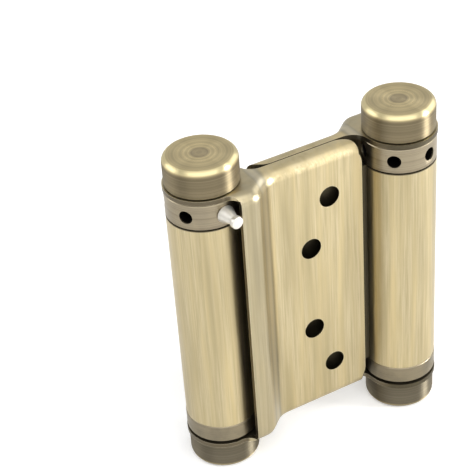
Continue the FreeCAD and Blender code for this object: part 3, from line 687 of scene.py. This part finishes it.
class HINGE_OT_pins(bpy.types.Operator):
    """Turns the two tension pins: shank, cone, neck and button head in satin steel"""

    bl_idname = "hinge.pins"
    bl_label = "Tension pins"

    def profile(self, sizes):
        """(radius, distance from the barrel axis) from the shank's inner end to the head's face."""
        neck = sizes.pin_seat + sizes.cone_length
        head = neck + sizes.neck_length
        face = head + sizes.head_length
        return rounded(
            [
                (0, sizes.pin_inner),
                (sizes.pin_shank, sizes.pin_inner), (sizes.pin_shank, sizes.pin_seat),
                (sizes.pin_shoulder, sizes.pin_seat), (sizes.pin_neck, neck), (sizes.pin_neck, head),
                (sizes.pin_head, head), (sizes.pin_head, face), (0, face),
            ],
            [0.2 * MM, 0.02 * MM, 0.08 * MM, 0.1 * MM, 0.05 * MM, 0.2 * MM, 0.2 * MM],
        )

    def execute(self, context):
        finish, sizes = context.scene.hinge_finish, context.scene.hinge_sizes
        shade = [value * 0.92 for value in finish.steel]
        steel = plain_steel("satin_steel", shade, finish.steel, 0.36, metallic=0.7)
        shape = self.profile(sizes)
        pulls = {joint["name"]: joint["axis"] for joint in frame["joints"]}
        for side, sign in zip(SIDES, (-1, 1)):
            axis = pulls[f"{side}_pin_pull"]
            origin = sign * AXIS_X, 0, PIN_LEVEL
            piece = lathe(f"{side}_tension_pin_turned", shape, origin, axis, sectors=96)
            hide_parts(f"{side}_tension_pin")
            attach(piece, f"{side}_pin")
            dress(piece, steel)
        return {"FINISHED"}


class HINGE_OT_insides(bpy.types.Operator):
    """Gives the spindles, springs and washers inside the barrels their plain steels"""

    bl_idname = "hinge.insides"
    bl_label = "Spindles, springs and washers"

    def execute(self, context):
        steels = {name: plain_steel(*look) for name, look in INSIDES.items()}
        for side in SIDES:
            for name, steel in steels.items():
                piece = frame["nodes"][f"{side}_{name}"]
                soften(piece, INSIDE_EDGE)
                dress(piece, steel)
        return {"FINISHED"}


# Stage

def add_lamp(name, azimuth, elevation, distance, width, depth, level):
    """A soft rectangular lamp that faces the hinge.

    Azimuth counts from the front leaf's side towards the rear barrel. Level is the lamp's own
    brightness, where a white wall in plain light has 1, so its power is pi * area * level.
    """
    lamp = bpy.data.lights.new(name, "AREA")
    lamp.shape = "RECTANGLE"
    lamp.size, lamp.size_y = width, depth
    lamp.energy = math.pi * width * depth * level
    turn, rise = math.radians(azimuth), math.radians(elevation)
    away = Vector((math.sin(turn) * math.cos(rise), -math.cos(turn) * math.cos(rise), math.sin(rise)))
    made = bpy.data.objects.new(name, lamp)
    made.location = away * distance
    made.rotation_euler = away.to_track_quat("Z", "Y").to_euler()
    bpy.context.scene.collection.objects.link(made)


class HINGE_OT_stage(bpy.types.Operator):
    """Adds the pale floor, the soft lamps, the room and the camera"""

    bl_idname = "hinge.stage"
    bl_label = "Stage"

    def execute(self, context):
        stage = context.scene.hinge_stage
        scene = context.scene
        self.add_floor(CAD_BOX[0].z)
        self.light_room(scene, stage)
        add_lamp("Front lamp", azimuth=-15, elevation=52, distance=1.1, width=1.7, depth=1.2, level=1.6)
        add_lamp("Right lamp", azimuth=60, elevation=9, distance=0.9, width=0.2, depth=0.36, level=36.0)
        add_lamp("Left lamp", azimuth=-122, elevation=30, distance=1.0, width=0.7, depth=0.5, level=2.4)
        add_lamp("Side lamp", azimuth=103, elevation=26, distance=1.0, width=0.7, depth=0.6, level=1.8)
        self.add_camera(scene, stage)
        scene.view_settings.view_transform = "Standard"
        return {"FINISHED"}

    def add_floor(self, level):
        """A white floor. It glows a little to the camera, and more far off, where no lamp reaches."""
        corners = np.array([[-1, -1, 0], [1, -1, 0], [1, 1, 0], [-1, 1, 0]], float) * FLOOR_REACH
        corners[:, 2] = level
        floor = put_mesh("floor", corners, [(0, 1, 2, 3)])
        material = bpy.data.materials.new("floor_white")
        material.use_nodes = True
        shader = material.node_tree.nodes["Principled BSDF"]
        shader.inputs["Base Color"].default_value = FLOOR_COLOUR
        shader.inputs["Roughness"].default_value = 0.9
        shader.inputs["Emission Color"].default_value = (1, 1, 1, 1)
        seen = add_node(material, "ShaderNodeLightPath").outputs["Is Camera Ray"]
        place = add_node(material, "ShaderNodeTexCoord").outputs["Object"]
        away = add_node(material, "ShaderNodeVectorMath", {"operation": "LENGTH"}, Vector=place)
        glow = between(material, step(material, away.outputs["Value"], *FAR_FLOOR), *FLOOR_GLOW)
        feed(material, shader.inputs["Emission Strength"], calc(material, "MULTIPLY", seen, glow))
        dress(floor, material)

    def light_room(self, scene, stage):
        """The room is white to the camera, at room_gloss to the metal and at room_light to all else."""
        world = bpy.data.worlds.new("Room")
        scene.world = world
        world.use_nodes = True
        nodes, links = world.node_tree.nodes, world.node_tree.links
        path = nodes.new("ShaderNodeLightPath")
        level = stage.room_light
        for ray, seen in (("Is Glossy Ray", stage.room_gloss), ("Is Camera Ray", 1.0)):
            strength = nodes.new("ShaderNodeMix")
            links.new(path.outputs[ray], strength.inputs["Factor"])
            if isinstance(level, bpy.types.NodeSocket):
                links.new(level, strength.inputs["A"])
            else:
                strength.inputs["A"].default_value = level
            strength.inputs["B"].default_value = seen
            level = strength.outputs["Result"]
        background = nodes["Background"]
        links.new(level, background.inputs["Strength"])
        background.inputs["Color"].default_value = (1, 1, 1, 1)

    def add_camera(self, scene, stage):
        """The camera looks along -back, and its frame is turned by roll."""
        lens = bpy.data.cameras.new("Camera")
        lens.lens = stage.lens
        lens.sensor_width = 36
        lens.clip_start, lens.clip_end = 0.01, 20
        camera = bpy.data.objects.new("Camera", lens)
        scene.collection.objects.link(camera)
        level = math.cos(stage.elevation)
        back = Vector((
            math.sin(stage.azimuth) * level, -math.cos(stage.azimuth) * level, math.sin(stage.elevation)))
        right = (-back).cross(Vector((0, 0, 1))).normalized()
        up = right.cross(-back)
        across = right * math.cos(stage.roll) + up * math.sin(stage.roll)
        upward = up * math.cos(stage.roll) - right * math.sin(stage.roll)
        turned = Matrix((across, upward, back)).transposed().to_4x4()
        camera.matrix_world = Matrix.Translation(stage.camera_place) @ turned
        scene.camera = camera


OPERATORS = (
    HINGE_OT_leaves, HINGE_OT_caps, HINGE_OT_collars, HINGE_OT_pins, HINGE_OT_insides, HINGE_OT_stage,
)
GROUPS = {"hinge_finish": HingeFinish, "hinge_sizes": HingeSizes, "hinge_stage": HingeStage}


class HINGE_PT_panel(bpy.types.Panel):
    """Lists the hinge's operators and its colours and sizes"""

    bl_idname = "HINGE_PT_panel"
    bl_label = "Cafe hinge"
    bl_space_type = "VIEW_3D"
    bl_region_type = "UI"
    bl_category = "Hinge"

    def draw(self, context):
        for operator in OPERATORS:
            self.layout.operator(operator.bl_idname)
        for name, group in GROUPS.items():
            for field in group.__annotations__:
                self.layout.prop(getattr(context.scene, name), field)


def register():
    for kind in (*GROUPS.values(), *OPERATORS, HINGE_PT_panel):
        bpy.utils.register_class(kind)
    for name, group in GROUPS.items():
        setattr(bpy.types.Scene, name, bpy.props.PointerProperty(type=group))


def unregister():
    for name in GROUPS:
        delattr(bpy.types.Scene, name)
    for kind in reversed((*GROUPS.values(), *OPERATORS, HINGE_PT_panel)):
        bpy.utils.unregister_class(kind)


def main():
    register()
    bpy.ops.hinge.leaves()
    bpy.ops.hinge.caps()
    bpy.ops.hinge.collars()
    bpy.ops.hinge.pins()
    bpy.ops.hinge.insides()
    bpy.ops.hinge.stage()


if __name__ == "__main__":
    main()
